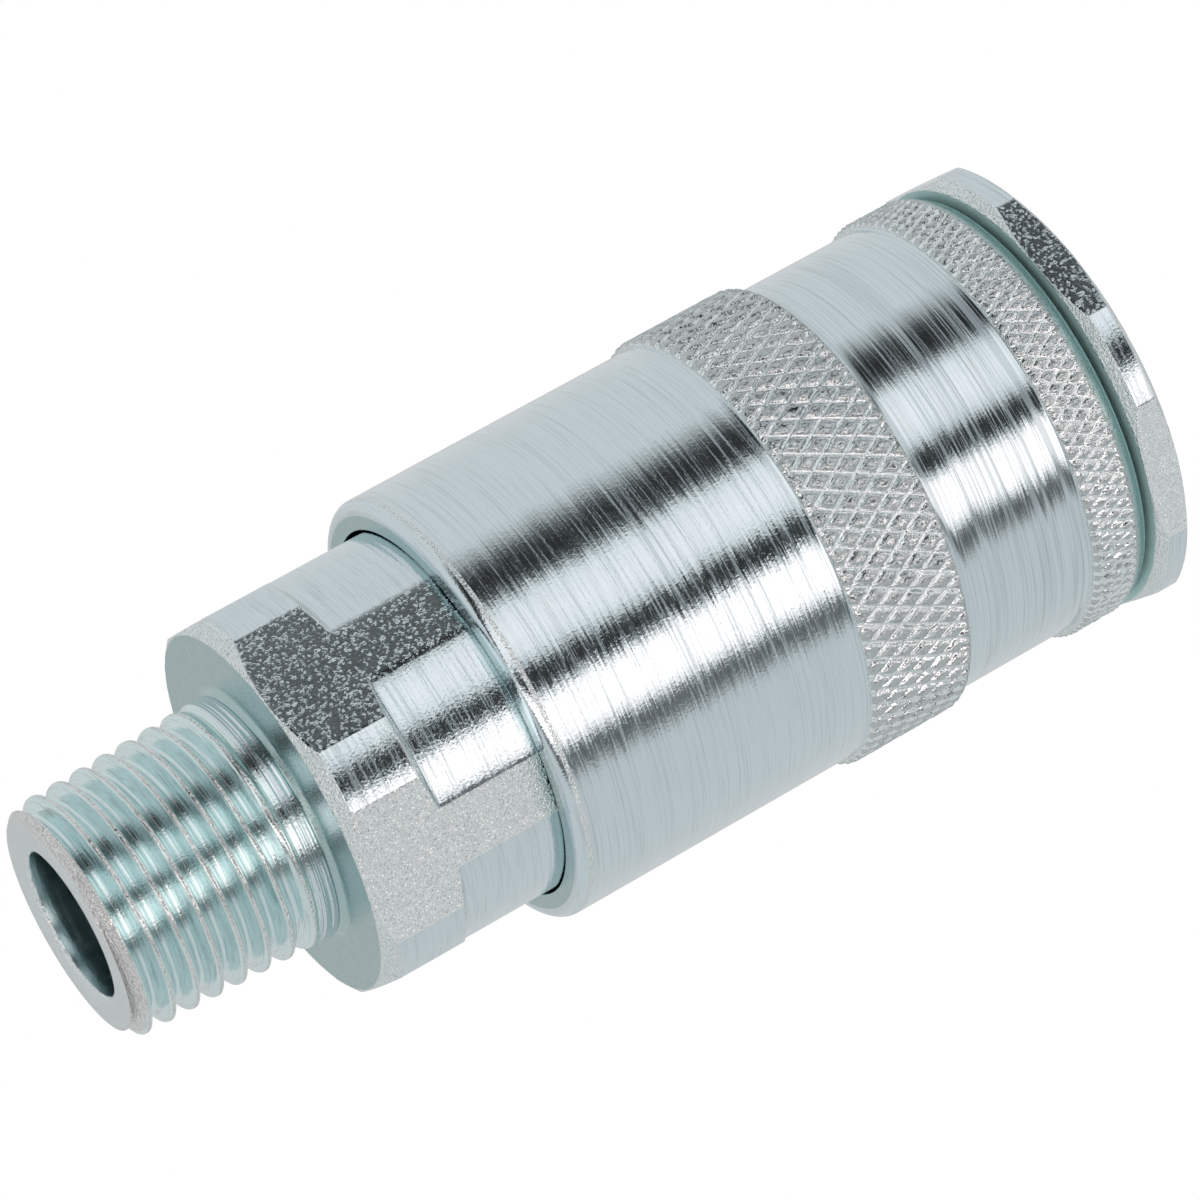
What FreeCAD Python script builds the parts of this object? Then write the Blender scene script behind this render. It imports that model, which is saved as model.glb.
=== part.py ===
import FreeCAD, Part
import math
import os
from FreeCAD import Vector

# Quick disconnect coupler, millimetres.
# Row frame: the coupling axis is X and +X points out of the socket's mouth, with the origin on the
# axis at the mouth's face.  Z is up, and the tail hexagon has a flat facing up and a flat facing down.
# The two halves screw together, so the front flange stops FLANGE_PHASE degrees round from that.
# Every piece is modelled on a local Z axis, where s is the same distance as X, and laid down at the end.

# Lengths along the axis (s, measured from the mouth's face; rearward is negative)
FLANGE_REAR = -1.95
SLEEVE_FRONT = -2.28
KNURL_2_FRONT = -2.9
KNURL_2_REAR = -5.7
BAND_REAR = -13.4
KNURL_1_REAR = -19.5
SLEEVE_REAR = -36.75
BALL_PLANE = -9.6
SLEEVE_SHOULDER = -16.0
BODY_JOINT = -31.0
GUIDE_FRONT = -38.0
GUIDE_REAR = -39.2
HEX_STEP = -42.5
HEX_REAR = -47.3
THREAD_END = -59.0

# Release sleeve
BARREL_R = 11.75
BAND_R = 11.6
KNURL_1_R = 12.15
KNURL_2_R = 12.05
SLEEVE_BORE_R = 10.25
SLEEVE_LAND_R = 8.17
FRONT_EDGE_R = 11.6
REAR_LIP = 0.6
KNURL_EDGE = 0.2

# Socket body
FLANGE_FLATS = 24.0
FLANGE_PHASE = 2.2
FLANGE_TURNED_R = 12.63
FLANGE_EDGE_R = 11.98
FLANGE_CHAMFER = 0.42
NECK_R = 8.1
SOCKET_R = 6.0
SOCKET_DEPTH = 15.0
MOUTH_CHAMFER = 0.3
NOSE_R = 4.1
CHAMBER_R = 6.3
SEAT_TOP = -20.9
BODY_THREAD_R = 7.6
BODY_RELIEF_R = 7.12

# Locking balls and the cam cone in the sleeve that drives them
BALL_COUNT = 8
BALL_R = 1.5
BALL_LOCKED_R = 6.65
BALL_GAP = 0.015
CAM_SLOPE = 0.16
BALL_HOLE_R = 1.55
BALL_HOLE_TAPER = 10.0
BALL_RELIEF_R = 6.2
BALL_RELIEF_HALF = 1.6

# Tail body
TAIL_FLATS = 20.0
TAIL_CORNER_R = 10.72
TAIL_EDGE_R = 9.92
TAIL_CHAMFER = 0.65
TAIL_STEP_CHAMFER = 0.4
TAIL_TURNED_R = 10.15
TAIL_SHANK_R = 9.95
TAIL_SHANK_REAR = -37.0
INLET_R = 4.0
THREAD_SMALL_R = 6.39
THREAD_TAPER = 1.0 / 32.0
THREAD_PITCH = 1.337
THREAD_DEPTH = 0.856
THREAD_RUN = 10.1
THREAD_LEAD_IN = 0.97
THREAD_NECK_R = 6.7
THREAD_CLEAR_R = 5.6

# Seals
PLUG_RING_S = -18.85
PLUG_RING_MAJOR = 4.76
PLUG_RING_MINOR = 0.9
PLUG_GROOVE_FRONT = -17.0
PLUG_GROOVE_REAR = -19.9
PLUG_GROOVE_R = 5.68
BODY_RING_S = -31.55
BODY_RING_MAJOR = 7.65
BODY_RING_MINOR = 0.5

# Valve
POPPET_FRONT = -20.2
POPPET_BACK = -24.4
POPPET_STEM_END = -38.6
POPPET_TRAVEL = 4.5
POPPET_STEM_R = 1.5
VALVE_RING_S = -22.4
VALVE_RING_MAJOR = 4.5
VALVE_RING_MINOR = 0.75

# Springs
SLEEVE_WIRE_R = 0.6
SLEEVE_COIL_R = 9.3
SLEEVE_TURNS = 5.0
VALVE_WIRE_R = 0.35
VALVE_COIL_R = 3.6
VALVE_TURNS = 7.0
WASHER_THICK = 0.6

ORIGIN = Vector(0, 0, 0)
LOCAL_AXIS = Vector(0, 0, 1)


def turned(profile):
    """A solid of revolution about the local axis from (s, radius) points."""
    points = [Vector(r, 0, s) for s, r in profile]
    wire = Part.makePolygon(points + [points[0]])
    return Part.Face(wire).revolve(ORIGIN, LOCAL_AXIS, 360)


def tube(s0, s1, r_in, r_out):
    return turned([(s0, r_in), (s0, r_out), (s1, r_out), (s1, r_in)])


def ring(s, major, minor):
    """An O-ring centred on the axis at s."""
    return Part.makeTorus(major, minor, Vector(0, 0, s), LOCAL_AXIS)


def hexagon(s0, s1, across_flats):
    """A hexagonal bar between s0 and s1; once laid down its flats face up and down."""
    corner_r = across_flats / 2.0 / math.cos(math.radians(30))
    points = []
    for k in range(6):
        a = math.radians(30 + 60 * k)
        points.append(Vector(corner_r * math.cos(a), corner_r * math.sin(a), s0))
    face = Part.Face(Part.makePolygon(points + [points[0]]))
    return face.extrude(Vector(0, 0, s1 - s0))


def turned_bar(s0, s1, across_flats, profile):
    """A hexagonal bar turned to a profile that runs on past both its ends.

    The turned faces are splines, so the curved edges they leave on the flats are splines too.
    """
    return hexagon(s0, s1, across_flats).common(turned(profile).toNurbs())


def spring(s0, s1, coil_r, wire_r, turns):
    """A compression spring whose end coils lie closed, with both ends ground flat."""
    closed_pitch = 2.1 * wire_r
    first = s0 + 0.5 * wire_r
    last = s1 - 0.5 * wire_r
    open_pitch = (last - first - 2.0 * closed_pitch) / turns
    steps = 8
    points = []
    level = first
    for k in range(int(steps * (turns + 2)) + 1):
        turn = k / steps
        points.append(Vector(coil_r * math.cos(2.0 * math.pi * turn),
                             coil_r * math.sin(2.0 * math.pi * turn), level))
        from_end = min(turn, turns + 2 - turn)
        opening = min(1.0, max(0.0, (from_end - 0.75) / 0.5))
        level += (closed_pitch + (open_pitch - closed_pitch) * opening) / steps
    drift = (last - level + (closed_pitch / steps)) / len(points)
    points = [p + Vector(0, 0, drift * k) for k, p in enumerate(points)]
    curve = Part.BSplineCurve()
    curve.interpolate(points)
    path = Part.Wire(curve.toShape())
    start = curve.tangent(curve.FirstParameter)[0]
    section = Part.Wire(Part.makeCircle(wire_r, points[0], start))
    wire = path.makePipeShell([section], True, True)
    return wire.common(tube(s0, s1, coil_r - 2.0 * wire_r, coil_r + 2.0 * wire_r))


def cam_start():
    """Where the sleeve's cam cone starts, so that it just meets the locked balls."""
    slant = math.cos(math.atan(CAM_SLOPE))
    reach = BALL_LOCKED_R + (BALL_R + BALL_GAP) / slant
    return BALL_PLANE - (reach - SLEEVE_LAND_R) / CAM_SLOPE


def cam_radius(s):
    return SLEEVE_LAND_R + (s - cam_start()) * CAM_SLOPE


def ball_hole():
    """A radial hole along local +X, tapered at its foot so that a ball can't fall into the socket."""
    taper = math.tan(math.radians(BALL_HOLE_TAPER))
    waist = (BALL_R + 0.02) / math.cos(math.radians(BALL_HOLE_TAPER))
    foot = BALL_LOCKED_R - 1.65
    shoulder = BALL_LOCKED_R - (waist - BALL_HOLE_R) / taper
    top = NECK_R + 1.0
    profile = [(foot, 0), (foot, waist - (BALL_LOCKED_R - foot) * taper), (shoulder, BALL_HOLE_R),
               (top, BALL_HOLE_R), (top, 0)]
    points = [Vector(d, 0, BALL_PLANE + r) for d, r in profile]
    face = Part.Face(Part.makePolygon(points + [points[0]]))
    return face.revolve(Vector(0, 0, BALL_PLANE), Vector(1, 0, 0), 360)


def make_socket_body():
    over = FLANGE_TURNED_R - FLANGE_EDGE_R
    flange_profile = [(FLANGE_REAR - FLANGE_CHAMFER, 0), (FLANGE_REAR - FLANGE_CHAMFER, FLANGE_EDGE_R - over),
                      (FLANGE_REAR + FLANGE_CHAMFER, FLANGE_TURNED_R), (-FLANGE_CHAMFER, FLANGE_TURNED_R),
                      (FLANGE_CHAMFER, FLANGE_EDGE_R - over), (FLANGE_CHAMFER, 0)]
    flange = turned_bar(FLANGE_REAR, 0, FLANGE_FLATS, flange_profile)
    flange.rotate(ORIGIN, LOCAL_AXIS, FLANGE_PHASE)
    neck = turned([(FLANGE_REAR, 0), (FLANGE_REAR, NECK_R), (BODY_JOINT, NECK_R),
                   (BODY_JOINT, BODY_RELIEF_R), (BODY_JOINT - 1.3, BODY_RELIEF_R),
                   (BODY_JOINT - 1.6, BODY_THREAD_R), (GUIDE_FRONT + 0.3, BODY_THREAD_R),
                   (GUIDE_FRONT, BODY_THREAD_R - 0.3), (GUIDE_FRONT, 0)])
    body = flange.fuse(neck)
    seat_foot = SEAT_TOP - (CHAMBER_R - NOSE_R)
    relief_front = BALL_PLANE + BALL_RELIEF_HALF
    relief_rear = BALL_PLANE - BALL_RELIEF_HALF
    bore = turned([(1.0, 0), (1.0, SOCKET_R + MOUTH_CHAMFER + 1.0), (-MOUTH_CHAMFER, SOCKET_R),
                   (relief_front, SOCKET_R), (relief_front, BALL_RELIEF_R),
                   (relief_rear, BALL_RELIEF_R), (relief_rear, SOCKET_R),
                   (-SOCKET_DEPTH, SOCKET_R), (-SOCKET_DEPTH, NOSE_R + 0.5),
                   (-SOCKET_DEPTH - 0.5, NOSE_R), (PLUG_GROOVE_FRONT, NOSE_R),
                   (PLUG_GROOVE_FRONT, PLUG_GROOVE_R), (PLUG_GROOVE_REAR, PLUG_GROOVE_R),
                   (PLUG_GROOVE_REAR, NOSE_R), (SEAT_TOP, NOSE_R), (seat_foot, CHAMBER_R),
                   (GUIDE_FRONT - 1.0, CHAMBER_R), (GUIDE_FRONT - 1.0, 0)])
    body = body.cut(bore)
    for k in range(BALL_COUNT):
        hole = ball_hole()
        hole.rotate(ORIGIN, LOCAL_AXIS, 360.0 * k / BALL_COUNT)
        body = body.cut(hole)
    return body


def make_release_sleeve():
    outside = [(SLEEVE_FRONT, cam_radius(SLEEVE_FRONT)), (SLEEVE_FRONT, FRONT_EDGE_R),
               (KNURL_2_FRONT, KNURL_2_R), (KNURL_2_REAR + KNURL_EDGE, KNURL_2_R),
               (KNURL_2_REAR, KNURL_2_R - KNURL_EDGE), (KNURL_2_REAR, BAND_R),
               (BAND_REAR, BAND_R), (BAND_REAR, KNURL_1_R - KNURL_EDGE),
               (BAND_REAR - KNURL_EDGE, KNURL_1_R), (KNURL_1_REAR + KNURL_EDGE, KNURL_1_R),
               (KNURL_1_REAR, KNURL_1_R - KNURL_EDGE), (KNURL_1_REAR, BARREL_R)]
    lip = []
    for k in range(7):
        a = math.radians(15.0 * k)
        lip.append((SLEEVE_REAR + REAR_LIP - REAR_LIP * math.sin(a),
                    BARREL_R - REAR_LIP + REAR_LIP * math.cos(a)))
    inside = [(SLEEVE_REAR, SLEEVE_BORE_R + 0.1), (SLEEVE_REAR + 0.1, SLEEVE_BORE_R),
              (SLEEVE_SHOULDER, SLEEVE_BORE_R), (SLEEVE_SHOULDER, SLEEVE_LAND_R),
              (cam_start(), SLEEVE_LAND_R)]
    return turned(outside + lip + inside)


def make_thread_cutter(small_end):
    """The helical groove of a tapered 55 degree thread, started just off the small end."""
    start = small_end - THREAD_LEAD_IN
    length = THREAD_RUN + THREAD_LEAD_IN + 0.8
    r = THREAD_SMALL_R - THREAD_LEAD_IN * THREAD_TAPER
    clear = 0.2
    flare = (THREAD_DEPTH + clear) * math.tan(math.radians(27.5))
    path = Part.makeHelix(THREAD_PITCH, length, r, math.degrees(math.atan(THREAD_TAPER)))
    path.translate(Vector(0, 0, start))
    root = r - THREAD_DEPTH
    points = [Vector(r + clear, 0, start - 0.07 - flare), Vector(r + clear, 0, start + 0.07 + flare),
              Vector(root, 0, start + 0.07), Vector(root, 0, start - 0.07)]
    section = Part.makePolygon(points + [points[0]])
    return Part.Wire(path.Edges).makePipeShell([section], True, True)


def make_tail_body():
    thread_top = THREAD_END + THREAD_RUN
    thread_r = THREAD_SMALL_R + THREAD_RUN * THREAD_TAPER
    stub = turned([(THREAD_END, 0), (THREAD_END, THREAD_SMALL_R - 0.6),
                   (THREAD_END + 0.55, THREAD_SMALL_R + 0.017), (thread_top, thread_r),
                   (thread_top + 0.3, THREAD_CLEAR_R), (HEX_REAR, THREAD_CLEAR_R), (HEX_REAR, 0)])
    stub = stub.cut(make_thread_cutter(THREAD_END))
    collar = tube(thread_top + 0.15, HEX_REAR + 1.0, THREAD_CLEAR_R - 0.6, THREAD_NECK_R)
    over = TAIL_CORNER_R - TAIL_EDGE_R
    corners = [(HEX_REAR - TAIL_CHAMFER, 0), (HEX_REAR - TAIL_CHAMFER, TAIL_EDGE_R - over),
               (HEX_REAR + TAIL_CHAMFER, TAIL_CORNER_R), (HEX_STEP - TAIL_STEP_CHAMFER, TAIL_CORNER_R),
               (HEX_STEP, TAIL_TURNED_R), (TAIL_SHANK_REAR + 1.0, TAIL_TURNED_R), (TAIL_SHANK_REAR + 1.0, 0)]
    head = turned_bar(HEX_REAR, TAIL_SHANK_REAR, TAIL_FLATS, corners)
    shank = turned([(TAIL_SHANK_REAR - 1.0, 0), (TAIL_SHANK_REAR - 1.0, TAIL_SHANK_R),
                    (BODY_JOINT - 0.3, TAIL_SHANK_R), (BODY_JOINT, TAIL_SHANK_R - 0.3), (BODY_JOINT, 0)])
    body = head.fuse(shank).fuse(collar).fuse(stub)
    cone_foot = GUIDE_REAR - 2.0
    bore = turned([(BODY_JOINT + 1.0, 0), (BODY_JOINT + 1.0, BODY_RING_MAJOR + BODY_RING_MINOR + 0.05),
                   (BODY_JOINT - 1.1, BODY_RING_MAJOR + BODY_RING_MINOR + 0.05),
                   (BODY_JOINT - 1.1, BODY_THREAD_R + 0.05), (GUIDE_REAR, BODY_THREAD_R + 0.05),
                   (GUIDE_REAR, INLET_R + 2.0), (cone_foot, INLET_R), (THREAD_END + 0.2, INLET_R),
                   (THREAD_END - 1.0, INLET_R + 1.2), (THREAD_END - 1.0, 0)])
    return body.cut(bore)


def make_valve_poppet():
    groove_r = VALVE_RING_MAJOR - VALVE_RING_MINOR - 0.05
    half = VALVE_RING_MINOR + 0.05
    front = VALVE_RING_S + half
    rear = VALVE_RING_S - half
    poppet = turned([(POPPET_FRONT, 0), (POPPET_FRONT, 3.1), (POPPET_FRONT - 0.2, 3.3),
                     (front + 0.6, 3.3), (front, 4.1), (front, groove_r), (rear, groove_r),
                     (rear, 5.3), (POPPET_BACK, 5.3), (POPPET_BACK, 2.6), (POPPET_BACK - 1.2, 2.6),
                     (POPPET_BACK - 2.3, POPPET_STEM_R), (POPPET_STEM_END + 0.3, POPPET_STEM_R),
                     (POPPET_STEM_END, POPPET_STEM_R - 0.3), (POPPET_STEM_END, 0)])
    for k in range(2):
        slot = Part.makeBox(8.0, 1.4, 1.2, Vector(-4.0, -0.7, POPPET_FRONT - 0.9))
        slot.rotate(ORIGIN, LOCAL_AXIS, 90.0 * k)
        poppet = poppet.cut(slot)
    return poppet


def make_valve_guide():
    hub_r = 2.5
    rim_inner = 5.3
    rim = tube(GUIDE_REAR, GUIDE_FRONT, rim_inner, BODY_THREAD_R - 0.05)
    hub = tube(GUIDE_REAR, GUIDE_FRONT + 2.0, POPPET_STEM_R + 0.06, hub_r)
    guide = rim.fuse(hub)
    for k in range(3):
        arm = Part.makeBox(rim_inner - hub_r + 1.0, 1.6, GUIDE_FRONT - GUIDE_REAR,
                           Vector(hub_r - 0.5, -0.8, GUIDE_REAR))
        arm.rotate(ORIGIN, LOCAL_AXIS, 120.0 * k)
        guide = guide.fuse(arm)
    return guide


def make_ball(k):
    a = math.radians(360.0 * k / BALL_COUNT)
    centre = Vector(BALL_LOCKED_R * math.cos(a), BALL_LOCKED_R * math.sin(a), BALL_PLANE)
    return Part.makeSphere(BALL_R, centre)


def lay_down(shape):
    """Turn the local axis onto +X, which also turns the flats that face local X up and down."""
    shape.rotate(ORIGIN, Vector(0, 1, 0), 90)
    return shape


parts = {
    "socket_body": make_socket_body(),
    "tail_body": make_tail_body(),
    "release_sleeve": make_release_sleeve(),
    "slip_washer": tube(SLEEVE_SHOULDER - WASHER_THICK, SLEEVE_SHOULDER, NECK_R + 0.1, 10.1),
    "sleeve_spring": spring(BODY_JOINT, SLEEVE_SHOULDER - WASHER_THICK, SLEEVE_COIL_R,
                            SLEEVE_WIRE_R, SLEEVE_TURNS),
    "plug_o_ring": ring(PLUG_RING_S, PLUG_RING_MAJOR, PLUG_RING_MINOR),
    "plug_backup_ring": tube(PLUG_GROOVE_FRONT - 0.92, PLUG_GROOVE_FRONT - 0.02, NOSE_R + 0.03,
                             PLUG_GROOVE_R - 0.04),
    "body_o_ring": ring(BODY_RING_S, BODY_RING_MAJOR, BODY_RING_MINOR),
    "valve_poppet": make_valve_poppet(),
    "valve_o_ring": ring(VALVE_RING_S, VALVE_RING_MAJOR, VALVE_RING_MINOR),
    "valve_spring": spring(GUIDE_FRONT, POPPET_BACK, VALVE_COIL_R, VALVE_WIRE_R, VALVE_TURNS),
    "valve_guide": make_valve_guide(),
}
for index in range(BALL_COUNT):
    parts["lock_ball_%d" % (index + 1)] = make_ball(index)

os.makedirs("parts", exist_ok=True)
for name, shape in parts.items():
    lay_down(shape).exportStep("parts/%s.step" % name)
    print(name, shape.isValid(), len(shape.Solids), round(shape.Volume, 2))
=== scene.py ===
import math

import bpy
import numpy as np
from mathutils import Matrix, Vector


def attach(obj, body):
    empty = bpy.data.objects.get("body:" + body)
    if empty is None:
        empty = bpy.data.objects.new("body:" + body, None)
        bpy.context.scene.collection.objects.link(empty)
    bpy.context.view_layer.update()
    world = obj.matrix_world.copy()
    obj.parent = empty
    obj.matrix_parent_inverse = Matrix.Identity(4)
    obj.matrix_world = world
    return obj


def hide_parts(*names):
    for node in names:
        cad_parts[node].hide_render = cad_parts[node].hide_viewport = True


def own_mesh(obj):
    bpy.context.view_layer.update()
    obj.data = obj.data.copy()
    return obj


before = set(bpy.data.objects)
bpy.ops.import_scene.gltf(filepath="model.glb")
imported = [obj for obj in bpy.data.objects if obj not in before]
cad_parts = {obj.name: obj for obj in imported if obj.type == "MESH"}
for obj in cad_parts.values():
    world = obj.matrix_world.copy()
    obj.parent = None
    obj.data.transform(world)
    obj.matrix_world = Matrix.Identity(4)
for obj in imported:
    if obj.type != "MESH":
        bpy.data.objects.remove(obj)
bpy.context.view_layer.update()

# ---------------------------------------------------------------- sizes, in millimetres along and about X
MM = 0.001
FLANGE_REAR, SLEEVE_FRONT, KNURL_2_FRONT, KNURL_2_REAR, BAND_REAR = -1.95, -2.28, -2.9, -5.7, -13.4
KNURL_1_REAR, SLEEVE_REAR, SHOULDER = -19.5, -36.75, -16.0
BODY_JOINT, GUIDE_FRONT, GUIDE_REAR, HEX_STEP, HEX_REAR, THREAD_END = -31.0, -38.0, -39.2, -42.5, -47.3, -59.0
BARREL_R, BAND_R, KNURL_1_R, KNURL_2_R, FRONT_EDGE_R = 11.75, 11.6, 12.15, 12.05, 11.6
SLEEVE_BORE_R, SLEEVE_LAND_R, CAM_FRONT, CAM_SLOPE = 10.25, 8.17, -9.6943, 0.16
FLANGE_HALF_FLATS, FLANGE_R, FLANGE_EDGE_R, FLANGE_CHAMFER = 12.0, 12.63, 11.98, 0.42
SOCKET_BORE_R, SOCKET_NECK_R, SCREWED_R, FLANGE_TURN = 6.0, 8.1, 7.6, 2.2
HEX_HALF_FLATS, CORNER_R, TURNED_R, HEX_EDGE_R, HEX_CHAMFER = 10.0, 10.72, 10.15, 9.92, 0.65
SHANK_R, INLET_R, STEP_CHAMFER, TURNED_FRONT = 9.95, 4.0, 0.4, -36.42
PITCH, THREAD_SMALL_R, NECK_R, NECK_FRONT, FLANK_ANGLE = 1.337, 6.39, 6.70, -48.9, math.radians(27.5)
BALL_PLANE, BALL_HOLE_R, BALL_HOLE_TAPER = -9.6, 1.55, math.radians(10.0)
FLOOR_Z = -12.2
UPRIGHT = 0.85     # a flat whose normal has at least this much Z reflects the dark parts of the studio; flats with less Z get a lighter copy of the flat zinc, a painted highlight


# ---------------------------------------------------------------- mesh tools
def noise_grid(rows, cols, cell_rows, cell_cols, seed):
    """Smooth noise from -1 to 1 on a grid whose columns close on themselves."""
    rng = np.random.RandomState(seed)
    nr, nc = max(2, int(rows / cell_rows) + 2), max(4, int(round(cols / cell_cols)))
    base = rng.uniform(-1, 1, (nr + 1, nc))
    r, c = np.arange(rows) / cell_rows, np.arange(cols) * nc / cols
    r0, c0 = np.minimum(r.astype(int), nr - 1), c.astype(int) % nc
    fr, fc = r - r.astype(int), c - c.astype(int)
    fr, fc = (fr * fr * (3 - 2 * fr))[:, None], (fc * fc * (3 - 2 * fc))[None, :]
    c1 = (c0 + 1) % nc
    top = base[r0][:, c0] * (1 - fc) + base[r0][:, c1] * fc
    low = base[r0 + 1][:, c0] * (1 - fc) + base[r0 + 1][:, c1] * fc
    return top * (1 - fr) + low * fr


def soft_min(a, b, r):
    """The smaller of a and b with the corner between them rounded over about r."""
    h = np.clip(0.5 + 0.5 * (b - a) / r, 0, 1)
    return b * (1 - h) + a * h - r * h * (1 - h)


def off_flat(theta, phase):
    """Angle from the middle of the nearest flat of a hexagon whose flats face phase, phase + 60 and so on."""
    turn = math.radians(60)
    return (theta - phase + turn / 2) % turn - turn / 2


def columns(count, half_flats, radii, phase):
    """Angles round the axis, with extra ones beside each edge between a flat and a turned corner."""
    angles = list(np.linspace(0, 2 * np.pi, count, endpoint=False))
    for radius in radii:
        half = math.acos(half_flats / radius)
        for k in range(6):
            for side in (-1, 1):
                edge = phase + math.radians(60 * k) + side * half
                for step in (-0.7, -0.4, -0.2, -0.08, 0.0, 0.08, 0.2, 0.4, 0.7):
                    angles.append((edge + math.radians(step)) % (2 * np.pi))
    angles = np.array(sorted(angles))
    keep = np.ones(len(angles), bool)
    keep[1:] = np.diff(angles) > math.radians(0.03)
    return angles[keep]


def link(mesh, name):
    piece = bpy.data.objects.new(name, mesh)
    bpy.context.scene.collection.objects.link(piece)
    return piece


class Rows:
    """The rows of a skin: x, then a radius and a material index that may each vary round the axis."""

    def __init__(self, theta):
        self.theta, self.places, self.zones = theta, [], []

    def add(self, x, radius, zone):
        self.places.append((x, radius))
        self.zones.append(np.broadcast_to(np.array(zone), self.theta.shape))


def skin(name, rows, materials):
    """A closed skin: its outside rows run from front to rear, its inside rows come back, and its ends join."""
    theta = rows.theta
    n, m = len(rows.places), len(theta)
    co = np.empty((n, m, 3))
    cos, sin = np.cos(theta), np.sin(theta)
    for i, (x, r) in enumerate(rows.places):
        co[i, :, 0], co[i, :, 1], co[i, :, 2] = x, r * cos, r * sin
    i, j = np.meshgrid(np.arange(n), np.arange(m), indexing="ij")
    i2, j2 = (i + 1) % n, (j + 1) % m
    quads = np.stack([i * m + j, i2 * m + j, i2 * m + j2, i * m + j2], axis=-1).reshape(-1, 4)
    mesh = bpy.data.meshes.new(name)
    mesh.vertices.add(n * m)
    mesh.vertices.foreach_set("co", (co * MM).ravel())
    mesh.loops.add(quads.size)
    mesh.loops.foreach_set("vertex_index", quads.ravel().astype(np.int32))
    mesh.polygons.add(len(quads))
    mesh.polygons.foreach_set("loop_start", np.arange(0, quads.size, 4, dtype=np.int32))
    mesh.polygons.foreach_set("material_index", np.array(rows.zones).ravel().astype(np.int32))
    mesh.polygons.foreach_set("use_smooth", np.ones(len(quads), bool))
    mesh.update(calc_edges=True)
    for material in materials:
        mesh.materials.append(material)
    return link(mesh, name)


def wire_coil(name, x0, x1, coil_r, wire_r, turns, material):
    """A compression spring whose end coils lie closed."""
    steps, sides = 56, 14
    closed = 2.1 * wire_r
    first, last = x0 + 0.6 * wire_r, x1 - 0.6 * wire_r
    opened = (last - first - 2 * closed) / turns
    count = int(steps * (turns + 2)) + 1
    turn = np.arange(count) / steps
    from_end = np.minimum(turn, turns + 2 - turn)
    opening = np.clip((from_end - 0.75) / 0.5, 0, 1)
    level = first + np.concatenate([[0], np.cumsum(closed + (opened - closed) * opening)[:-1]]) / steps
    level += (last - level[-1]) * np.arange(count) / (count - 1)
    a = -2 * np.pi * turn
    centre = np.stack([level, coil_r * np.sin(a), -coil_r * np.cos(a)], axis=1)
    out = np.stack([0 * a, np.sin(a), -np.cos(a)], axis=1)
    along = np.gradient(centre, axis=0)
    along /= np.linalg.norm(along, axis=1)[:, None]
    side = np.cross(along, out)
    phi = np.linspace(0, 2 * np.pi, sides, endpoint=False)
    co = centre[:, None] + wire_r * (np.cos(phi)[None, :, None] * out[:, None]
                                     + np.sin(phi)[None, :, None] * side[:, None])
    co[..., 0] = np.clip(co[..., 0], x0, x1)
    faces = []
    for i in range(count - 1):
        for j in range(sides):
            k = (j + 1) % sides
            faces.append((i * sides + j, i * sides + k, (i + 1) * sides + k, (i + 1) * sides + j))
    faces.append(tuple(range(sides - 1, -1, -1)))
    faces.append(tuple((count - 1) * sides + j for j in range(sides)))
    mesh = bpy.data.meshes.new(name)
    mesh.from_pydata([tuple(v * MM) for v in co.reshape(-1, 3)], [], faces)
    mesh.polygons.foreach_set("use_smooth", np.ones(len(faces), bool))
    mesh.materials.append(material)
    mesh.update()
    return link(mesh, name)


# ---------------------------------------------------------------- shader tools
class Shader:
    """A node tree with short calls: each value given to node() is a constant or another node's output."""

    def __init__(self, owner):
        owner.use_nodes = True
        self.tree = owner.node_tree
        self.tree.nodes.clear()

    def node(self, kind, out=0, settings=None, **values):
        made = self.tree.nodes.new("ShaderNode" + kind)
        for key, value in (settings or {}).items():
            setattr(made, key, value)
        for key, value in values.items():
            numbered = key[0] == "i" and key[1:].isdigit()
            socket = made.inputs[int(key[1:]) if numbered else key.replace("_", " ")]
            if isinstance(value, bpy.types.NodeSocket):
                self.tree.links.new(value, socket)
            else:
                socket.default_value = value
        return made.outputs[out] if len(made.outputs) else None

    def math(self, what, a, b):
        return self.node("Math", settings={"operation": what}, i0=a, i1=b)

    def vector(self, what, a, b=(0, 0, 0), scale=None):
        extra = {} if scale is None else {"Scale": scale}
        return self.node("VectorMath", settings={"operation": what}, i0=a, i1=b, **extra)

    def remap(self, value, a, b, c, d):
        return self.node("MapRange", Value=value, From_Min=a, From_Max=b, To_Min=c, To_Max=d)

    def noise(self, vector, scale, detail=2.0, rough=0.5):
        return self.node("TexNoise", Vector=vector, Scale=scale, Detail=detail, Roughness=rough)

    def mix(self, factor, a, b):
        made = self.tree.nodes.new("ShaderNodeMix")
        made.data_type = "RGBA"
        for socket, value in ((made.inputs[0], factor), (made.inputs[6], a), (made.inputs[7], b)):
            if isinstance(value, bpy.types.NodeSocket):
                self.tree.links.new(value, socket)
            else:
                socket.default_value = value
        return made.outputs[2]

    def ramp(self, factor, stops):
        made = self.tree.nodes.new("ShaderNodeValToRGB")
        elements = made.color_ramp.elements
        while len(elements) < len(stops):
            elements.new(0.5)
        for element, (at, colour) in zip(elements, stops):
            element.position = at
            element.color = (*colour, 1)
        self.tree.links.new(factor, made.inputs[0])
        return made.outputs[0]


ZINC = (0.70, 0.80, 0.84)


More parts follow.
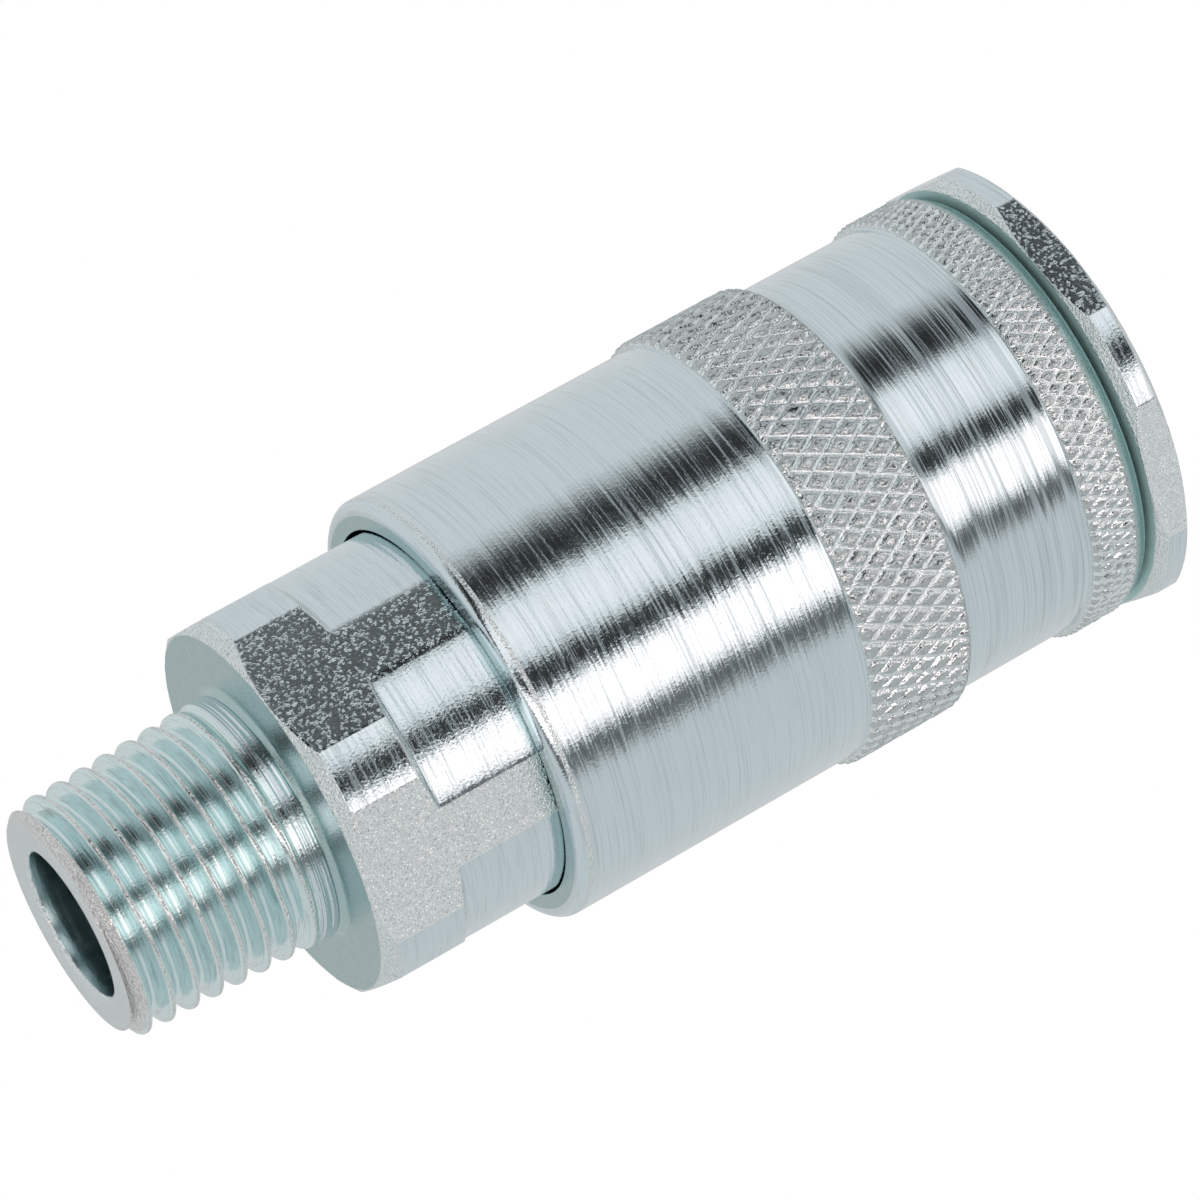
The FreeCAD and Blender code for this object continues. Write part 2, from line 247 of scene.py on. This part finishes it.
def metal(name, colour=ZINC, rough=0.18, rough_spread=0.08, streak=0.05, tilt=0.03, streak_mm=(0.05, 4.0),
          speckle=0.0, speckle_mm=0.2, cutoff=0.3, pits=0.15, stain=0.08, scored=0.0, metallic=1.0):
    """Plated or bare metal.

    streak and tilt lean the surface round and along the axis line by line, as turning marks do, and streak_mm
    is the width and length of those lines. speckle is the height in mm of a grainy skin, speckle_mm the size of
    its grains and cutoff how much of it stays smooth. pits is fine roughness, stain varies the colour over the
    surface and scored darkens it line by line.
    """
    material = bpy.data.materials.new(name)
    s = Shader(material)
    place = s.node("TexCoord", out=3)
    normal = s.node("NewGeometry", out=1)
    if streak or tilt:
        wide, long = 1000 / streak_mm[0], 1000 / streak_mm[1]
        lines = s.node("Mapping", Vector=place, Scale=(wide, long, long))
        around = s.vector("CROSS_PRODUCT", (1, 0, 0), normal)
        turned_a = s.math("SUBTRACT", s.noise(lines, 1.0, 3.0, 0.6), 0.5)
        turned_b = s.math("SUBTRACT", s.noise(s.vector("ADD", lines, (71, 13, 5)), 0.6, 2.0, 0.6), 0.5)
        lean = s.vector("SCALE", around, scale=s.math("MULTIPLY", turned_a, 2 * streak))
        nod = s.vector("SCALE", (1, 0, 0), scale=s.math("MULTIPLY", turned_b, 2 * tilt))
        normal = s.vector("NORMALIZE", s.vector("ADD", normal, s.vector("ADD", lean, nod)))
    grain = s.noise(place, 1000 / 0.12, 2.0)
    fine = s.node("Bump", Strength=pits, Distance=0.00002, Height=grain, Normal=normal)
    if speckle:
        cells = s.noise(place, 1000 / speckle_mm, 1.0, 0.4)
        grains = s.remap(cells, cutoff, cutoff + 0.26, 0.0, 1.0)
        fine = s.node("Bump", Strength=1.0, Distance=speckle * MM, Height=grains, Normal=fine)
    patch = s.noise(place, 1000 / 6.0, 3.0, 0.6)
    shade = s.remap(patch, 0.3, 0.7, 1.0 - stain, 1.0)
    tint = s.mix(shade, (colour[0] * 0.86, colour[1] * 0.97, colour[2] * 0.97, 1), (*colour, 1))
    if scored:
        marks = s.noise(s.vector("ADD", lines, (5, 3, 41)), 1.3, 2.0, 0.7)
        score = s.remap(marks, 0.30, 0.50, 1.0 - scored, 1.0)
        tint = s.vector("SCALE", tint, scale=score)
    worn = s.noise(place, 1000 / 0.8, 3.0)
    roughness = s.remap(worn, 0.3, 0.7, rough - rough_spread / 2, rough + rough_spread / 2)
    skin_node = s.node("BsdfPrincipled", Base_Color=tint, Metallic=metallic, Roughness=roughness, Normal=fine)
    s.node("OutputMaterial", Surface=skin_node)
    return material


def dull(name, colour, rough, bump=0.02, grain_mm=0.15):
    """Rubber or plastic."""
    material = bpy.data.materials.new(name)
    s = Shader(material)
    place = s.node("TexCoord", out=3)
    grain = s.noise(place, 1000 / grain_mm, 3.0)
    tint = s.mix(s.noise(place, 1000 / 2.0, 2.0), (*[c * 0.75 for c in colour], 1), (*colour, 1))
    body = s.node("BsdfPrincipled", Base_Color=tint, Roughness=rough, IOR=1.5,
                  Normal=s.node("Bump", Strength=0.5, Distance=bump * MM, Height=grain))
    s.node("OutputMaterial", Surface=body)
    return material


barrel_skin = metal("zinc_barrel", rough=0.10, rough_spread=0.05, streak=0.085, tilt=0.24,
                    streak_mm=(0.11, 9.0), speckle=0.0020, speckle_mm=0.20, cutoff=0.50, pits=0.15,
                    scored=0.16)
band_skin = metal("zinc_band", rough=0.09, rough_spread=0.03, streak=0.080, tilt=0.32,
                  streak_mm=(0.11, 14.0), pits=0.15, scored=0.24)
land_skin = metal("zinc_corner", rough=0.09, rough_spread=0.03, streak=0.045, tilt=0.22,
                  streak_mm=(0.11, 4.0), speckle=0.0024, speckle_mm=0.15, cutoff=0.42, pits=0.2,
                  scored=0.14)
edge_skin = metal("zinc_edge", colour=(0.80, 0.87, 0.88), rough=0.22, streak=0.0, tilt=0.0, speckle=0.035,
                  speckle_mm=0.13, pits=0.7)
blasted = metal("zinc_flat", rough=0.08, streak=0.0, tilt=0.0, speckle=0.022, speckle_mm=0.19,
                cutoff=0.55, pits=0.15)
# flats facing sideways: a lighter copy of the flat zinc, painted highlight
side_flat_painted_highlight = metal("zinc_side_flat_painted_highlight", colour=(0.89, 0.94, 0.945), rough=0.15, streak=0.0, tilt=0.0,
                     speckle=0.012, speckle_mm=0.12, cutoff=0.40, pits=0.5, stain=0.12)
# rear face of the flange: a teal, half-metallic colour, painted shade standing in for the shaded face beside the
# sleeve
flange_back_painted_shade = metal("zinc_flange_back", colour=(0.55, 0.78, 0.76), rough=0.5, metallic=0.45, streak=0.02,
                    tilt=0.1, streak_mm=(0.08, 3.0), pits=0.4)
# knurl grooves: a light colour, painted highlight along the grooves
knurl_groove_painted_highlight = metal("zinc_knurl_groove_painted_highlight", colour=(0.85, 0.91, 0.925), rough=0.10, streak=0.0, tilt=0.0, speckle=0.016,
                speckle_mm=0.24, cutoff=0.44, pits=0.3)
# knurl diamond tops: a dark colour, painted shade
diamond_painted_shade = metal("zinc_diamond", colour=(0.55, 0.60, 0.61), rough=0.10, streak=0.0, tilt=0.0, speckle=0.03,
                speckle_mm=0.20, cutoff=0.44, pits=0.3)
# faces across the axis and the sleeve's front chamfer: a darker teal colour, painted shade; their turning streaks
# are real
faced_painted_shade = metal("zinc_face_painted_shade", colour=(0.45, 0.60, 0.60), rough=0.26, streak=0.02, tilt=0.06,
              streak_mm=(0.08, 3.0), speckle=0.006, speckle_mm=0.14, pits=0.4)
thread_skin = metal("zinc_thread", colour=(0.72, 0.86, 0.87), rough=0.14, streak=0.05, tilt=0.22,
                    streak_mm=(0.08, 3.0), pits=0.4, scored=0.2)
crest_skin = metal("zinc_crest", colour=(0.80, 0.82, 0.82), rough=0.16, streak=0.0, tilt=0.0,
                   speckle=0.06, speckle_mm=0.12, pits=0.8)
# bores, inner steps, ball holes and the sleeve's front face: a darker colour, painted shade inside recesses and
# in the gap between parts
bore_painted_shade = metal("zinc_bore_painted_shade", colour=(0.46, 0.60, 0.62), rough=0.24, streak=0.06, tilt=0.12,
                  streak_mm=(0.06, 3.0), pits=0.3)
washer_skin = metal("washer_steel", colour=(0.60, 0.60, 0.60), rough=0.3, streak=0.02, tilt=0.03)
spring_skin = metal("spring_steel", colour=(0.50, 0.50, 0.52), rough=0.28, streak=0.0, tilt=0.0, pits=0.3)
ball_skin = metal("ball_steel", colour=(0.80, 0.80, 0.82), rough=0.06, rough_spread=0.03, streak=0.0,
                  tilt=0.0, pits=0.04)
brass_skin = metal("turned_brass", colour=(0.78, 0.58, 0.28), rough=0.2, streak=0.03, tilt=0.06)
rubber = dull("nitrile", (0.022, 0.022, 0.024), 0.45)
ptfe = dull("ptfe", (0.86, 0.86, 0.84), 0.4, bump=0.01)


# ---------------------------------------------------------------- release sleeve
def make_sleeve():
    cols = 1120
    theta = np.linspace(0, 2 * np.pi, cols, endpoint=False)
    rows = Rows(theta)
    add = rows.add
    barrel, groove, edge, bore, band, land, face, diamond_top = range(8)

    def knurl(front, rear, crest, count, depth, half_width, rough, seed):
        """Two crossed sets of spiral grooves at 30 degrees, cut into a band whose edges are bevelled."""
        spiral = math.radians(30)
        pitch = 2 * math.pi * crest / count
        lead = pitch / math.tan(spiral)
        step = lead * count / cols
        xs = np.arange(front - 0.12, rear + 0.12, -step)
        grain = (noise_grid(len(xs), cols, 2.2, 3.2, seed) * 0.6
                 + noise_grid(len(xs), cols, 1.0, 1.6, seed + 1) * 0.4)
        swell = noise_grid(len(xs), cols, 7, 10, seed + 2)
        for k, x in enumerate(xs):
            cut = 0.0
            for hand in (-1, 1):
                phase = theta * count / (2 * np.pi) + hand * (x - front) / lead
                off = np.abs((phase + 0.5) % 1.0 - 0.5) * pitch * math.cos(spiral)
                cut = np.maximum(cut, depth * np.clip(1 - (off / half_width) ** 1.3, 0, 1))
            inset = min(front - x, x - rear)
            fade = min(1.0, max(0.0, (inset - 0.08) / 0.30))
            bevel = 0.16 * max(0.0, 1.0 - inset / 0.22)
            height = (cut * (1.0 + 0.25 * swell[k])) * fade + rough * (0.5 + 0.5 * grain[k]) * fade
            # deep groove cells get the light groove material (painted highlight), the rest get the dark top
            # material (painted shade)
            add(x, crest - bevel - height, np.where(cut * fade > 0.30 * depth, groove, diamond_top))

    def cam_radius(x):
        """The cone that lets the balls move outward as the sleeve goes back."""
        return SLEEVE_LAND_R + (x - CAM_FRONT) * CAM_SLOPE

    add(SLEEVE_FRONT, cam_radius(SLEEVE_FRONT), bore)
    add(SLEEVE_FRONT, FRONT_EDGE_R - 0.06, land)
    add(SLEEVE_FRONT - 0.02, FRONT_EDGE_R - 0.005, land)
    add(SLEEVE_FRONT - 0.07, FRONT_EDGE_R + 0.035, land)
    add(SLEEVE_FRONT - 0.13, FRONT_EDGE_R + 0.05, face)
    for share in (0.2, 0.4, 0.6, 0.8, 0.95):
        add(SLEEVE_FRONT - 0.13 + (KNURL_2_FRONT - SLEEVE_FRONT + 0.15) * share,
            FRONT_EDGE_R + 0.05 + 0.27 * share, face)
    knurl(KNURL_2_FRONT, KNURL_2_REAR, KNURL_2_R, count=104, depth=0.15, half_width=0.17, rough=0.10, seed=5)
    add(KNURL_2_REAR + 0.02, KNURL_2_R - 0.22, edge)
    add(KNURL_2_REAR, KNURL_2_R - 0.27, edge)
    add(KNURL_2_REAR, BAND_R + 0.04, band)
    add(KNURL_2_REAR - 0.04, BAND_R, band)
    for x in np.linspace(KNURL_2_REAR - 0.3, BAND_REAR + 0.3, 9):
        add(x, BAND_R, band)
    add(BAND_REAR + 0.04, BAND_R, band)
    add(BAND_REAR, BAND_R + 0.04, edge)
    add(BAND_REAR, KNURL_1_R - 0.30, edge)
    add(BAND_REAR - 0.03, KNURL_1_R - 0.24, edge)
    knurl(BAND_REAR, KNURL_1_REAR, KNURL_1_R, count=70, depth=0.26, half_width=0.21, rough=0.03, seed=11)
    add(KNURL_1_REAR + 0.03, KNURL_1_R - 0.24, edge)
    add(KNURL_1_REAR, KNURL_1_R - 0.30, edge)
    add(KNURL_1_REAR, BARREL_R + 0.03, barrel)
    add(KNURL_1_REAR - 0.03, BARREL_R, barrel)
    for x in np.linspace(KNURL_1_REAR - 0.3, SLEEVE_REAR + 1.0, 14):
        add(x, BARREL_R, barrel)
    burr = noise_grid(1, cols, 1, 3, 31)[0] * 0.5 + noise_grid(1, cols, 1, 9, 32)[0] * 0.5
    add(SLEEVE_REAR + 0.70, BARREL_R, edge)
    add(SLEEVE_REAR + 0.62, BARREL_R + 0.012 * burr, edge)
    lip = 0.6
    for k in range(1, 13):
        a = math.radians(7.5 * k)
        add(SLEEVE_REAR + lip * (1 - math.sin(a)), BARREL_R - lip * (1 - math.cos(a)), edge if k < 2 else land)
    for radius in (11.05, 10.7, SLEEVE_BORE_R + 0.05):
        add(SLEEVE_REAR, radius, face)
    add(SLEEVE_REAR + 0.02, SLEEVE_BORE_R + 0.01, bore)
    for x in (SLEEVE_REAR + 0.12, SHOULDER - 10, SHOULDER):
        add(x, SLEEVE_BORE_R, bore)
    for x in (SHOULDER, CAM_FRONT - 0.4, CAM_FRONT):
        add(x, SLEEVE_LAND_R, bore)
    add(-6.0, cam_radius(-6.0), bore)
    return skin("sleeve_skin", rows,
                [barrel_skin, knurl_groove_painted_highlight, edge_skin, bore_painted_shade, band_skin, land_skin, faced_painted_shade, diamond_painted_shade])


# ---------------------------------------------------------------- tail body
def thread_depth(x, theta):
    """A rounded 55 degree right-hand thread: the depth below its crest, and the distance along X to the crest."""
    rounding, slope = 0.184, 1 / math.tan(FLANK_ANGLE)
    off = np.abs(((x + 0.14 - PITCH * theta / (2 * np.pi)) / PITCH) % 1.0 - 0.5)
    off = (0.5 - off) * PITCH
    a = rounding * math.cos(FLANK_ANGLE)
    shoulder = rounding * (1 - math.sin(FLANK_ANGLE))
    root = PITCH / 2 - a
    full = 2 * shoulder + (root - a) * slope
    crest = rounding - np.sqrt(np.maximum(rounding ** 2 - off ** 2, 0))
    valley = full - (rounding - np.sqrt(np.maximum(rounding ** 2 - (PITCH / 2 - off) ** 2, 0)))
    flank = shoulder + (off - a) * slope
    return np.where(off < a, crest, np.where(off > root, valley, flank)), off


def make_tail():
    phase = math.radians(30)
    theta = columns(360, HEX_HALF_FLATS, (TURNED_R, CORNER_R), phase)
    cols = len(theta)
    off = off_flat(theta, phase)
    flat = HEX_HALF_FLATS / np.cos(off)
    land, upper_flat, edge, face, flank, crest_zone, bore, side_flat = range(8)
    # flats facing sideways get the lighter material, a painted highlight; upward and downward ones get the plain
    # flat zinc
    flat_zone = np.where(np.abs(np.sin(theta)) > UPRIGHT, upper_flat, side_flat)
    rows = Rows(theta)
    add = rows.add

    def prism(x, turned):
        """The hexagon with its corners turned down to a radius."""
        on_flat = np.abs(off) < math.acos(HEX_HALF_FLATS / turned)
        add(x, soft_min(flat, turned, 0.04), np.where(on_flat, flat_zone, land))

    def cone(x, radius):
        """A turned chamfer, which leaves the flats that lie below it as they are."""
        add(x, soft_min(flat, radius, 0.03), np.where(flat < radius - 0.01, flat_zone, edge))

    add(BODY_JOINT, SHANK_R - 0.3, land)
    for x in (BODY_JOINT - 0.3, -35.0, TURNED_FRONT + 0.02):
        add(x, SHANK_R, land)
    prism(TURNED_FRONT, TURNED_R)
    for x in np.linspace(-36.7, HEX_STEP + 0.2, 12):
        prism(x, TURNED_R)
    prism(HEX_STEP + 0.02, TURNED_R)
    wob = noise_grid(1, cols, 1, 2.5, 3)[0] * 0.6 + noise_grid(1, cols, 1, 7, 4)[0] * 0.4
    for k in range(7):
        share = k / 6
        radius = TURNED_R + 0.02 + (CORNER_R - TURNED_R - 0.02) * share
        cone(HEX_STEP - STEP_CHAMFER * share, radius + 0.008 * wob)
    prism(HEX_STEP - STEP_CHAMFER - 0.04, CORNER_R)
    for x in np.linspace(HEX_STEP - 0.6, HEX_REAR + HEX_CHAMFER + 0.15, 8):
        prism(x, CORNER_R)
    prism(HEX_REAR + HEX_CHAMFER + 0.04, CORNER_R)
    burr = noise_grid(14, cols, 1.6, 1.8, 41)
    for k in range(14):
        share = k / 13
        radius = CORNER_R + (HEX_EDGE_R - CORNER_R) * share
        torn = 0.03 * wob if k in (0, 12) else 0.0
        cone(HEX_REAR + HEX_CHAMFER * (1 - share), radius + 0.025 * burr[k] + torn)
    for radius in (HEX_EDGE_R - 0.04, 9.2, 8.4, 7.7, 7.2):
        add(HEX_REAR, radius, face)
    fillet = 0.22
    for k in range(6):
        a = math.radians(18 * k)
        add(HEX_REAR - fillet * math.sin(a), NECK_R + fillet - fillet * math.sin(a), face)
    add(HEX_REAR - 0.26, NECK_R - 0.05, bore)
    add(HEX_REAR - 0.34, NECK_R - 0.04, bore)
    add(HEX_REAR - 0.38, NECK_R, land)
    xs = np.arange(HEX_REAR - 0.42, THREAD_END + 0.58, -0.04)
    rough = noise_grid(len(xs), cols, 1.5, 1.3, 21) * 0.6 + noise_grid(len(xs), cols, 4, 3, 22) * 0.4
    scratch = noise_grid(len(xs), cols, 1.2, 60, 23)
    for k, x in enumerate(xs):
        depth, from_crest = thread_depth(x, theta)
        crest = min(NECK_R, THREAD_SMALL_R + (x - THREAD_END) / 32)
        washout = np.clip((NECK_FRONT + 0.35 - x) / 1.7, 0, 1)
        tip = np.clip(1 - from_crest / 0.09, 0, 1)
        lines = 0.016 * scratch[k] * np.clip(2.2 - washout * 1.6, 0.3, 1)
        radius = crest - depth * washout - 0.035 * tip * (0.5 + 0.5 * rough[k]) * washout - lines
        cut_zone = np.where(from_crest < 0.065 + 0.03 * rough[k], crest_zone, flank)
        add(x, radius, np.where(washout < 0.03, land, cut_zone))
    start = THREAD_SMALL_R - 0.60
    end_noise = noise_grid(18, cols, 1.5, 2.0, 51)
    for k, x in enumerate(np.linspace(THREAD_END + 0.56, THREAD_END + 0.04, 18)):
        slope = start + (x - THREAD_END) * 1.12 + 0.02 * end_noise[k]
        depth = thread_depth(x, theta)[0]
        crest = THREAD_SMALL_R + (x - THREAD_END) / 32
        add(x, soft_min(crest - depth, slope, 0.03), crest_zone)
    add(THREAD_END + 0.01, start - 0.02, crest_zone)
    for radius in (start - 0.10, 5.0, INLET_R + 0.40):
        add(THREAD_END, radius, edge)
    add(THREAD_END + 0.02, INLET_R + 0.25, edge)
    add(THREAD_END + 0.16, INLET_R + 0.03, edge)
    add(THREAD_END + 0.24, INLET_R, bore)
    for x in np.linspace(THREAD_END + 1.0, -41.3, 10):
        add(x, INLET_R, bore)
    inside = [(GUIDE_REAR - 2.0, INLET_R), (GUIDE_REAR, INLET_R + 2.0), (GUIDE_REAR, SCREWED_R + 0.05),
              (BODY_JOINT - 1.1, SCREWED_R + 0.05), (BODY_JOINT - 1.1, 8.20), (BODY_JOINT, 8.20)]
    for x, radius in inside:
        add(x, radius, bore)
    return skin("tail_skin", rows,
                [land_skin, blasted, edge_skin, faced_painted_shade, thread_skin, crest_skin, bore_painted_shade, side_flat_painted_highlight])


# ---------------------------------------------------------------- socket body
def make_socket():
    phase = math.radians(30 + FLANGE_TURN)
    theta = columns(360, FLANGE_HALF_FLATS, (FLANGE_R,), phase)
    off = off_flat(theta, phase)
    flat = FLANGE_HALF_FLATS / np.cos(off)
    land, upper_flat, edge, face, bore, side_flat, back = range(7)
    on_flat = np.abs(off) < math.acos(FLANGE_HALF_FLATS / FLANGE_R)
    # flats facing sideways get the lighter material, a painted highlight; upward and downward ones get the plain
    # flat zinc
    flat_zone = np.where(np.abs(np.sin(theta)) > UPRIGHT, upper_flat, side_flat)
    base = soft_min(flat, FLANGE_R, 0.04)
    rows = Rows(theta)
    add = rows.add

    def cone(x, radius):
        """A turned chamfer, which leaves the flats that lie below it as they are."""
        add(x, soft_min(base, radius, 0.03), np.where(flat < radius - 0.01, flat_zone, edge))

    add(-0.3, SOCKET_BORE_R, bore)
    for radius in (SOCKET_BORE_R + 0.3, SOCKET_BORE_R + 0.36, 8.0, 10.0, 11.4):
        add(0.0, radius, face)
    add(0.0, FLANGE_EDGE_R - 0.04, edge)
    burr = noise_grid(24, len(theta), 1.6, 1.8, 61)
    slope = (FLANGE_R - FLANGE_EDGE_R) / FLANGE_CHAMFER
    for k in range(10):
        x = -FLANGE_CHAMFER * k / 9
        cone(x, FLANGE_EDGE_R - slope * x + 0.015 * burr[k])
    for x in (-0.46, -0.6, -0.8, -1.0, -1.2, -1.4, -1.49):
        add(x, base, np.where(on_flat, flat_zone, land))
    for k in range(12):
        x = FLANGE_REAR + FLANGE_CHAMFER * (1 - k / 11)
        cone(x, FLANGE_EDGE_R + slope * (x - FLANGE_REAR) + 0.02 * burr[k + 12])
    # the flange's rear face takes the teal painted-shade material
    for radius in (FLANGE_EDGE_R - 0.05, 11.0, 10.0, 9.0, 8.3):
        add(FLANGE_REAR, radius, back)
    add(FLANGE_REAR - 0.03, SOCKET_NECK_R + 0.04, land)
    for x in (FLANGE_REAR - 0.15, -6.0, -8.0, -11.2, -14.0, -20.0, -26.0, BODY_JOINT + 0.1):
        add(x, SOCKET_NECK_R, land)
    # inside, from the rear: body O-ring groove, screwed joint, valve chamber and seat, plug O-ring groove,
    # nose bore, then the socket bore with its relief round the balls
    groove_r, chamber_r, nose_r, ring_r, relief_r = 7.12, 6.3, 4.1, 5.68, 6.2
    inside = [(BODY_JOINT, SOCKET_NECK_R - 0.05), (BODY_JOINT, groove_r), (BODY_JOINT - 1.3, groove_r),
              (BODY_JOINT - 1.6, SCREWED_R), (GUIDE_FRONT + 0.3, SCREWED_R), (GUIDE_FRONT, SCREWED_R - 0.3),
              (GUIDE_FRONT, chamber_r), (-30.0, chamber_r), (-23.1, chamber_r), (-20.9, nose_r),
              (-19.9, nose_r), (-19.9, ring_r), (-17.0, ring_r), (-17.0, nose_r), (-15.5, nose_r),
              (-15.0, nose_r + 0.5), (-15.0, SOCKET_BORE_R), (-11.2, SOCKET_BORE_R), (-11.2, relief_r),
              (-8.0, relief_r), (-8.0, SOCKET_BORE_R), (-4.0, SOCKET_BORE_R)]
    for x, radius in inside:
        add(x, radius, bore)
    piece = skin("socket_skin", rows,
                 [land_skin, blasted, edge_skin, faced_painted_shade, bore_painted_shade, side_flat_painted_highlight, flange_back_painted_shade])

    # the eight tapered ball holes through the neck
    verts, faces, sides = [], [], 40
    taper = math.tan(BALL_HOLE_TAPER)
    waist = 1.52 / math.cos(BALL_HOLE_TAPER)
    shoulder = 6.65 - (waist - BALL_HOLE_R) / taper
    for k in range(8):
        a = math.radians(45 * k)
        out = np.array([0, math.sin(a), -math.cos(a)])
        side = np.cross(out, (1, 0, 0))
        start = len(verts)
        for distance, radius in ((5.0, waist - 1.65 * taper), (shoulder, BALL_HOLE_R), (9.1, BALL_HOLE_R)):
            for i in range(sides):
                b = 2 * math.pi * i / sides
                across = math.cos(b) * np.array([1.0, 0, 0]) + math.sin(b) * side
                verts.append(tuple((np.array([BALL_PLANE, 0, 0]) + out * distance + radius * across) * MM))
        for ring in range(2):
            for i in range(sides):
                j = (i + 1) % sides
                faces.append((start + ring * sides + i, start + ring * sides + j,
                              start + (ring + 1) * sides + j, start + (ring + 1) * sides + i))
        faces.append(tuple(start + i for i in range(sides - 1, -1, -1)))
        faces.append(tuple(start + 2 * sides + i for i in range(sides)))
    drill_mesh = bpy.data.meshes.new("drill")
    drill_mesh.from_pydata(verts, [], faces)
    drill_mesh.materials.append(bore_painted_shade)
    drill = link(drill_mesh, "drill")
    cut = piece.modifiers.new("ball_holes", "BOOLEAN")
    cut.operation, cut.solver, cut.object = "DIFFERENCE", "EXACT", drill
    bpy.context.view_layer.update()
    graph = bpy.context.evaluated_depsgraph_get()
    done = bpy.data.meshes.new_from_object(piece.evaluated_get(graph))
    piece.modifiers.clear()
    piece.data = done
    bpy.data.objects.remove(drill)
    return piece


sleeve = make_sleeve()
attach(sleeve, "sleeve"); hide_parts("release_sleeve")
tail = make_tail()
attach(tail, "body"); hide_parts("tail_body")
socket = make_socket()
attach(socket, "body"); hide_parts("socket_body")

big_spring = wire_coil("sleeve_spring_coil", BODY_JOINT, -16.6, 9.3, 0.6, 5.0, spring_skin)
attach(big_spring, "body"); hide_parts("sleeve_spring")
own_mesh(big_spring)
small_spring = wire_coil("valve_spring_coil", GUIDE_FRONT, -24.4, 3.6, 0.35, 7.0, spring_skin)
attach(small_spring, "body"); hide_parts("valve_spring")
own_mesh(small_spring)

plain = {"slip_washer": washer_skin, "plug_o_ring": rubber, "body_o_ring": rubber, "valve_o_ring": rubber,
         "plug_backup_ring": ptfe, "valve_poppet": brass_skin, "valve_guide": brass_skin}
for k in range(8):
    plain["lock_ball_%d" % (k + 1)] = ball_skin
for node, material in plain.items():
    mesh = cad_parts[node].data
    mesh.materials.clear()
    mesh.materials.append(material)

# ---------------------------------------------------------------- studio
floor_material = bpy.data.materials.new("floor_white")
s = Shader(floor_material)
s.node("OutputMaterial", Surface=s.node("Emission", Color=(1, 1, 1, 1), Strength=1.0))
floor_mesh = bpy.data.meshes.new("floor")
floor_corners = [(x, y, FLOOR_Z * MM) for x, y in ((-1.5, -1.5), (1.5, -1.5), (1.5, 1.5), (-1.5, 1.5))]
floor_mesh.from_pydata(floor_corners, [], [(0, 1, 2, 3)])
floor_mesh.materials.append(floor_material)
floor = link(floor_mesh, "floor")
floor.visible_glossy = False

world = bpy.data.worlds.new("studio")
bpy.context.scene.world = world
s = Shader(world)
way = s.node("SeparateXYZ", Vector=s.node("TexCoord", out=0))
parts = way.node.outputs
angle = s.math("ARCTAN2", parts[2], parts[1])
turn = s.remap(angle, -math.pi, math.pi, 0.0, 1.0)
# softboxes and black flags laid along the coupler: each one's angle round its axis in degrees, and brightness
strips = [(-180, 0.62), (-176, 0.66), (-84, 0.68), (-60, 0.60), (-41, 0.72), (46, 0.74), (54, 0.46),
          (60, 0.12), (66, 0.03), (74, 0.03), (79, 0.12), (83, 0.70), (87, 0.98), (100, 1.08), (110, 1.0),
          (115, 0.70), (118.5, 0.06), (122, 0.03), (128, 0.04), (131.5, 0.7), (135, 1.4), (145, 1.5),
          (155, 1.4), (160, 0.85), (163, 0.20), (168, 0.12), (173, 0.24), (177, 0.50), (180, 0.62)]
stops = []
for at, level in strips:
    warm = min(1.0, max(0.0, (level - 0.7) / 0.4)) * (1.0 if at > 120 else 0.35)
    stops.append(((at + 180) / 360.0, (level * (1 + 0.14 * warm), level, level * (1 - 0.03 * warm))))
# how strongly the strips show against the plain backdrop, by the X part of the direction looked in
ends = [(-1.0, 1.0), (0.04, 1.0), (0.11, 0.45), (0.19, 0.45), (0.24, 1.0), (0.40, 1.0), (0.46, 0.45),
        (0.6, 0.45), (1.0, 0.8)]
reach = s.ramp(s.remap(parts[0], -1.0, 1.0, 0.0, 1.0),
               [((at + 1) / 2, (level, level, level)) for at, level in ends])
around = s.mix(reach, (0.57, 0.58, 0.59, 1), s.ramp(turn, stops))
light = s.node("Background", Color=around, Strength=1.0)
white = s.node("Background", Color=(1, 1, 1, 1), Strength=1.0)
seen = s.node("LightPath", out=0)
s.node("OutputWorld", Surface=s.node("MixShader", i0=seen, i1=light, i2=white))

camera_data = bpy.data.cameras.new("camera")
camera_data.lens, camera_data.sensor_width, camera_data.clip_start = 185.04, 36.0, 0.01
camera = bpy.data.objects.new("camera", camera_data)
bpy.context.scene.collection.objects.link(camera)
forward = Vector((0.31967, 0.45773, -0.82964)).normalized()
right = Vector((0.8283, -0.5602, 0.01008)).normalized()
up = right.cross(forward).normalized()
right = forward.cross(up).normalized()
camera.matrix_world = Matrix.Translation((-0.12618, -0.14087, 0.25807)) @ Matrix((
    (right.x, up.x, -forward.x), (right.y, up.y, -forward.y), (right.z, up.z, -forward.z))).to_4x4()
bpy.context.scene.camera = camera
bpy.context.scene.view_settings.view_transform = "Standard"
